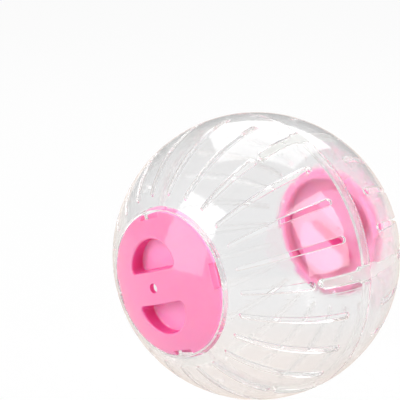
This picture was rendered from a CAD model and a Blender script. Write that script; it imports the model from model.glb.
import math

import bpy
from mathutils import Matrix, Vector

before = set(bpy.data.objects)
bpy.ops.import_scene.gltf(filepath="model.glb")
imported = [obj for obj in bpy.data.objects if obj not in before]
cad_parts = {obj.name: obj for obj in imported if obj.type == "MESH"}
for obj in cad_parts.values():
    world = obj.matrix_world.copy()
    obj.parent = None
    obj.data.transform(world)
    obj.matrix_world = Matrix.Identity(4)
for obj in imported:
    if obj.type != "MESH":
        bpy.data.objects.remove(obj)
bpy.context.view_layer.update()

# Places on the solids, in metres: the ball, the rear half's tongue pads and seam lip, and a lid's rim and recesses.
BALL_R = 0.06
PAD_R = 0.058
PAD_Y = 0.03
LIP_Y = 0.0021
NOTCH_R = 0.0272
RIM_Y = 0.0509
RECESS_R = 0.0215
RECESS_Y = 0.0535

# Camera: viewing angle, distance and the ball's place in the picture.
AZIMUTH = 41.73
ELEVATION = 16.79
DISTANCE = 9.9 * BALL_R
PICTURE_PX = 400
BALL_PX = 143.5
OFF_RIGHT_PX = 55.8
OFF_DOWN_PX = 55.4
SENSOR_MM = 36
NEAREST = 0.01
FARTHEST = 50

# Noise values between which a surface goes from its first value to its second.
NOISE_SPAN = (0.3, 0.7)

# Clear plastic: its index and tints, roughness, and the scale and detail of its flow waves and fine scratches.
CLEAR_IOR = 1.59
CLEAR_TINTS = ((0.975, 0.977, 0.98), (0.99, 0.991, 0.993))
CLEAR_ROUGHNESS = (0.055, 0.1)
CLEAR_FLOW = (14, 2)
CLEAR_FINE = (900, 4)
CLEAR_WAVE_STRENGTH = 0.25
CLEAR_WAVE_DEPTH = 0.0004
SHADOW_TINT = (0.97, 0.97, 0.97, 1)
CAUGHT_DEPTH = 14

# Frosted parts of the seam: share of haze, the lip's part of it, its tints, and how much of it is lit from behind.
FROST = 0.5
LIP_SHARE = 0.35
FROST_TINTS = ((0.6, 0.61, 0.59), (0.68, 0.69, 0.67))
FROST_FROM_BEHIND = 0.5

# Pink plastic: its index and tints, roughness, depth of colour, mirror level on faces and walls, and fine skin.
PINK_IOR = 1.45
PINK_TINTS = ((0.8, 0.25, 0.445), (0.82, 0.27, 0.465))
PINK_INSIDE = (0.82, 0.3, 0.51)
PINK_NOTCH = (0.66, 0.17, 0.33)
PINK_RECESS_FLOOR = (0.83, 0.335, 0.59)
PINK_RECESS_WALL = (0.88, 0.115, 0.37)
PINK_ROUGHNESS = (0.06, 0.12)
PINK_SUBSURFACE = 0.6
PINK_SUBSURFACE_RADIUS = (1.0, 0.2, 0.4)
PINK_SUBSURFACE_SCALE = 0.003
PINK_MIRROR = (0.5, 0.15)
PINK_FLOW = (35, 3)
PINK_FINE = (1400, 3)
PINK_SKIN_STRENGTH = 0.08
PINK_SKIN_DEPTH = 0.00008
# Share of a normal along the lid's axis at which a face counts as a wall, and at which it no longer does.
WALL_FACING = (0.4, 0.8)

# Floor: half its side, its gap under the ball, its own colour, and what plastic shows of it near and far.
FLOOR_HALF = 6.0
FLOOR_GAP = 0.0001
FLOOR_COLOUR = (0.7, 0.7, 0.7, 1)
FLOOR_THROUGH = ((0.93, 0.85, 0.8), (0.9, 0.9, 0.9))
FLOOR_MIRRORED = (0.86, 0.74, 0.66)
FLOOR_GLOW = 0.95
WHITE = (1, 1, 1)

# World strength for diffuse, transmitted and mirrored rays.
WORLD_DIFFUSE = 0.24
WORLD_THROUGH = 0.664
WORLD_MIRRORED = 0.36

# Softboxes: name, direction in the camera's axes (right, up, back), width, height and radiance.
SOFTBOX_DISTANCE = 0.9
SOFTBOXES = (
    ("left_softbox", (-0.768, 0.250, 0.589), 0.62, 0.86, 4.1),
    ("right_softbox", (0.768, 0.250, 0.589), 0.62, 0.86, 5.0),
    ("top_softbox", (0.07, 0.96, -0.25), 0.82, 0.9, 2.6),
)

# The clear walls need many bounces.
scene = bpy.context.scene
scene.view_settings.view_transform = "Standard"
scene.cycles.max_bounces = 32
scene.cycles.glossy_bounces = 24
scene.cycles.transmission_bounces = 32

# The camera's own axes.
a, e = math.radians(AZIMUTH), math.radians(ELEVATION)
BACK = Vector((math.sin(a) * math.cos(e), -math.cos(a) * math.cos(e), math.sin(e)))
RIGHT = Vector((math.cos(a), math.sin(a), 0))
UP = BACK.cross(RIGHT)


def toward(right, up, back):
    """Direction given in the camera's own axes."""
    return (RIGHT * right + UP * up + BACK * back).normalized()


def make_camera():
    """Camera at the photograph's angle, turned so that the ball lies off the picture's centre."""
    focal_px = BALL_PX * math.sqrt((DISTANCE / BALL_R) ** 2 - 1)
    data = bpy.data.cameras.new("camera")
    data.sensor_width = SENSOR_MM
    data.lens = focal_px * SENSOR_MM / PICTURE_PX
    data.clip_start = NEAREST
    data.clip_end = FARTHEST
    cam = bpy.data.objects.new("camera", data)
    scene.collection.objects.link(cam)
    place = BACK * DISTANCE
    per_px = DISTANCE / focal_px
    target = -RIGHT * OFF_RIGHT_PX * per_px + UP * OFF_DOWN_PX * per_px
    z = (place - target).normalized()
    x = UP.cross(z).normalized()
    y = z.cross(x)
    cam.matrix_world = Matrix.Translation(place) @ Matrix((x, y, z)).transposed().to_4x4()
    scene.camera = cam


# Shader nodes
def new_material(name):
    mat = bpy.data.materials.new(name)
    mat.use_nodes = True
    tree = mat.node_tree
    tree.nodes.clear()
    out = tree.nodes.new("ShaderNodeOutputMaterial")
    return mat, tree, out


def node(tree, kind, **values):
    n = tree.nodes.new(kind)
    for key, value in values.items():
        setattr(n, key, value)
    return n


def noise(tree, coords, scale, detail):
    n = node(tree, "ShaderNodeTexNoise")
    n.inputs["Scale"].default_value = scale
    n.inputs["Detail"].default_value = detail
    tree.links.new(coords, n.inputs["Vector"])
    return n.outputs["Fac"]


def maths(tree, operation, first, second):
    """Arithmetic on two values, each a socket or a number."""
    n = node(tree, "ShaderNodeMath", operation=operation)
    for socket, value in zip(n.inputs, (first, second)):
        if isinstance(value, (int, float)):
            socket.default_value = value
        else:
            tree.links.new(value, socket)
    return n.outputs[0]


def times(tree, first, second):
    return maths(tree, "MULTIPLY", first, second)


def larger(tree, first, second):
    return maths(tree, "MAXIMUM", first, second)


def below(tree, value, limit):
    return maths(tree, "LESS_THAN", value, limit)


def above(tree, value, limit):
    return maths(tree, "GREATER_THAN", value, limit)


def size(tree, value):
    return maths(tree, "ABSOLUTE", value, 0)


def ramp(tree, value, low, high, out_low, out_high):
    n = node(tree, "ShaderNodeMapRange")
    n.inputs["From Min"].default_value = low
    n.inputs["From Max"].default_value = high
    n.inputs["To Min"].default_value = out_low
    n.inputs["To Max"].default_value = out_high
    tree.links.new(value, n.inputs["Value"])
    return n.outputs["Result"]


def xyz(tree, vector):
    n = node(tree, "ShaderNodeSeparateXYZ")
    tree.links.new(vector, n.inputs[0])
    return n.outputs


def length(tree, vector):
    n = node(tree, "ShaderNodeVectorMath", operation="LENGTH")
    tree.links.new(vector, n.inputs[0])
    return n.outputs["Value"]


def bump(tree, height, strength, distance):
    n = node(tree, "ShaderNodeBump")
    n.inputs["Strength"].default_value = strength
    n.inputs["Distance"].default_value = distance
    tree.links.new(height, n.inputs["Height"])
    return n.outputs["Normal"]


def mix_colour(tree, fac, first, second):
    """Mix of two colours, each a socket or three numbers."""
    n = node(tree, "ShaderNodeMix", data_type="RGBA")
    for socket, colour in (("A", first), ("B", second)):
        if isinstance(colour, tuple):
            n.inputs[socket].default_value = (*colour, 1)
        else:
            tree.links.new(colour, n.inputs[socket])
    tree.links.new(fac, n.inputs["Factor"])
    return n.outputs["Result"]


def mix_shader(tree, fac, first, second):
    """Mix of two shaders, by a socket or a number."""
    n = node(tree, "ShaderNodeMixShader")
    if isinstance(fac, float):
        n.inputs[0].default_value = fac
    else:
        tree.links.new(fac, n.inputs[0])
    tree.links.new(first, n.inputs[1])
    tree.links.new(second, n.inputs[2])
    return n.outputs[0]


# Materials
def frosted_places(tree, coords):
    """Share of haze on the rear half's tongues, tongue pads and seam lip, which look frosted."""
    y = xyz(tree, coords)["Y"]
    inside = below(tree, length(tree, coords), PAD_R)
    tongues = below(tree, y, 0)
    pads = times(tree, inside, below(tree, y, PAD_Y))
    lip = times(tree, inside, below(tree, size(tree, y), LIP_Y))
    haze = times(tree, larger(tree, tongues, pads), FROST)
    return times(tree, haze, ramp(tree, lip, 0, 1, 1, LIP_SHARE))


def frost(tree, clear, coords, fine):
    """Haze over the clear plastic, lit from both sides."""
    tint = mix_colour(tree, fine, *FROST_TINTS)
    front = node(tree, "ShaderNodeBsdfDiffuse")
    tree.links.new(tint, front.inputs["Color"])
    behind = node(tree, "ShaderNodeBsdfTranslucent")
    tree.links.new(tint, behind.inputs["Color"])
    haze = mix_shader(tree, FROST_FROM_BEHIND, front.outputs[0], behind.outputs[0])
    return mix_shader(tree, frosted_places(tree, coords), clear, haze)


def clear_plastic(name, frosted):
    """Clear moulded polystyrene: faint flow waves and fine handling scratches."""
    mat, tree, out = new_material(name)
    coords = node(tree, "ShaderNodeTexCoord").outputs["Object"]
    shader = node(tree, "ShaderNodeBsdfPrincipled")
    shader.inputs["Transmission Weight"].default_value = 1.0
    shader.inputs["IOR"].default_value = CLEAR_IOR
    flow = noise(tree, coords, *CLEAR_FLOW)
    fine = noise(tree, coords, *CLEAR_FINE)
    waves = bump(tree, flow, CLEAR_WAVE_STRENGTH, CLEAR_WAVE_DEPTH)
    tree.links.new(mix_colour(tree, flow, *CLEAR_TINTS), shader.inputs["Base Color"])
    tree.links.new(ramp(tree, fine, *NOISE_SPAN, *CLEAR_ROUGHNESS), shader.inputs["Roughness"])
    tree.links.new(waves, shader.inputs["Normal"])
    surface = shader.outputs[0]
    if frosted:
        surface = frost(tree, surface, coords, fine)
    # Softbox light passes through the thin clear wall, and rays caught inside the wall leave it.
    through = node(tree, "ShaderNodeBsdfTransparent")
    through.inputs["Color"].default_value = SHADOW_TINT
    path = node(tree, "ShaderNodeLightPath").outputs
    leaving = larger(tree, path["Is Shadow Ray"], above(tree, path["Ray Depth"], CAUGHT_DEPTH))
    tree.links.new(mix_shader(tree, leaving, surface, through.outputs[0]), out.inputs["Surface"])
    return mat


def lid_places(tree, texture):
    """Masks of a lid's notch and recess walls, of its recess walls and floors, and of its inner faces."""
    x, y, z = xyz(tree, texture["Object"])
    along = xyz(tree, texture["Normal"])["Y"]
    depth = size(tree, y)
    square = maths(tree, "ADD", times(tree, x, x), times(tree, z, z))
    sideways = ramp(tree, size(tree, along), *WALL_FACING, 1, 0)
    level = maths(tree, "SUBTRACT", 1, sideways)
    above_rim = times(tree, sideways, above(tree, depth, RIM_Y))
    walls = times(tree, above_rim, below(tree, square, NOTCH_R ** 2))
    in_recess = below(tree, square, RECESS_R ** 2)
    recess_walls = times(tree, walls, in_recess)
    sunk = times(tree, in_recess, below(tree, depth, RECESS_Y))
    outward = above(tree, times(tree, along, y), 0)
    recess_floors = times(tree, level, times(tree, sunk, outward))
    inner_faces = times(tree, level, maths(tree, "SUBTRACT", 1, outward))
    return walls, recess_walls, recess_floors, inner_faces


def pink_plastic():
    """Glossy pink moulding with a fine skin and faint flow marks, deeper in its walls, as light comes through it."""
    mat, tree, out = new_material("pink_plastic")
    texture = node(tree, "ShaderNodeTexCoord").outputs
    walls, recess_walls, recess_floors, inner_faces = lid_places(tree, texture)
    shader = node(tree, "ShaderNodeBsdfPrincipled")
    shader.inputs["IOR"].default_value = PINK_IOR
    shader.inputs["Subsurface Weight"].default_value = PINK_SUBSURFACE
    shader.inputs["Subsurface Radius"].default_value = PINK_SUBSURFACE_RADIUS
    shader.inputs["Subsurface Scale"].default_value = PINK_SUBSURFACE_SCALE
    flow = noise(tree, texture["Object"], *PINK_FLOW)
    fine = noise(tree, texture["Object"], *PINK_FINE)
    colour = mix_colour(tree, flow, *PINK_TINTS)
    for place, tint in (
        (inner_faces, PINK_INSIDE),
        (walls, PINK_NOTCH),
        (recess_floors, PINK_RECESS_FLOOR),
        (recess_walls, PINK_RECESS_WALL),
    ):
        colour = mix_colour(tree, place, colour, tint)
    skin = bump(tree, fine, PINK_SKIN_STRENGTH, PINK_SKIN_DEPTH)
    tree.links.new(colour, shader.inputs["Base Color"])
    tree.links.new(ramp(tree, walls, 0, 1, *PINK_MIRROR), shader.inputs["Specular IOR Level"])
    tree.links.new(ramp(tree, fine, *NOISE_SPAN, *PINK_ROUGHNESS), shader.inputs["Roughness"])
    tree.links.new(skin, shader.inputs["Normal"])
    tree.links.new(shader.outputs[0], out.inputs["Surface"])
    return mat


def dress(name, mat):
    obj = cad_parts[name]
    obj.data.materials.clear()
    obj.data.materials.append(mat)


# Floor and light
def floor_material():
    """Pale floor: white to the camera, light grey through the clear plastic, shaded by the ball."""
    mat, tree, out = new_material("floor")
    path = node(tree, "ShaderNodeLightPath").outputs
    diffuse = node(tree, "ShaderNodeBsdfDiffuse")
    diffuse.inputs["Color"].default_value = FLOOR_COLOUR
    from_ball = length(tree, node(tree, "ShaderNodeTexCoord").outputs["Object"])
    away = ramp(tree, from_ball, BALL_R, 2 * BALL_R, 0, 1)
    grey = mix_colour(tree, away, *FLOOR_THROUGH)
    in_plastic = mix_colour(tree, path["Is Transmission Ray"], FLOOR_MIRRORED, grey)
    glow = node(tree, "ShaderNodeEmission")
    tree.links.new(mix_colour(tree, path["Is Camera Ray"], in_plastic, WHITE), glow.inputs["Color"])
    seen = larger(tree, path["Is Camera Ray"], path["Is Transmission Ray"])
    share = times(tree, larger(tree, seen, path["Is Glossy Ray"]), FLOOR_GLOW)
    tree.links.new(mix_shader(tree, share, diffuse.outputs[0], glow.outputs[0]), out.inputs["Surface"])
    return mat


def make_floor():
    mesh = bpy.data.meshes.new("floor")
    s = FLOOR_HALF
    z = -BALL_R - FLOOR_GAP
    mesh.from_pydata([(-s, -s, z), (s, -s, z), (s, s, z), (-s, s, z)], [], [(0, 1, 2, 3)])
    obj = bpy.data.objects.new("floor", mesh)
    scene.collection.objects.link(obj)
    mesh.materials.append(floor_material())


def make_world():
    """White to the camera, light grey through plastic, dimmer in mirrors and as light."""
    world = bpy.data.worlds.new("world")
    scene.world = world
    world.use_nodes = True
    tree = world.node_tree
    tree.nodes.clear()
    out = tree.nodes.new("ShaderNodeOutputWorld")
    path = node(tree, "ShaderNodeLightPath").outputs
    through = ramp(tree, path["Is Transmission Ray"], 0, 1, WORLD_DIFFUSE, WORLD_THROUGH)
    mirrored = ramp(tree, path["Is Glossy Ray"], 0, 1, WORLD_DIFFUSE, WORLD_MIRRORED)
    level = larger(tree, path["Is Camera Ray"], larger(tree, through, mirrored))
    back = node(tree, "ShaderNodeBackground")
    back.inputs["Color"].default_value = (*WHITE, 1)
    tree.links.new(level, back.inputs["Strength"])
    tree.links.new(back.outputs[0], out.inputs["Surface"])


def softbox(name, direction, width, height, radiance):
    """Lamp that the plastic mirrors, hidden from the camera and from rays through the plastic."""
    data = bpy.data.lights.new(name, "AREA")
    data.shape = "RECTANGLE"
    data.size = width
    data.size_y = height
    data.energy = radiance * math.pi * width * height
    obj = bpy.data.objects.new(name, data)
    scene.collection.objects.link(obj)
    obj.location = direction * SOFTBOX_DISTANCE
    obj.rotation_mode = "QUATERNION"
    obj.rotation_quaternion = direction.to_track_quat("Z", "Y")
    obj.visible_camera = False
    obj.visible_transmission = False


make_camera()
pink = pink_plastic()
dress("front_shell", clear_plastic("clear_plastic", False))
dress("rear_shell", clear_plastic("clear_plastic_frosted_seam", True))
for lid in ("front_lid", "rear_lid"):
    dress(lid, pink)
make_floor()
make_world()
for name, direction, width, height, radiance in SOFTBOXES:
    softbox(name, toward(*direction), width, height, radiance)
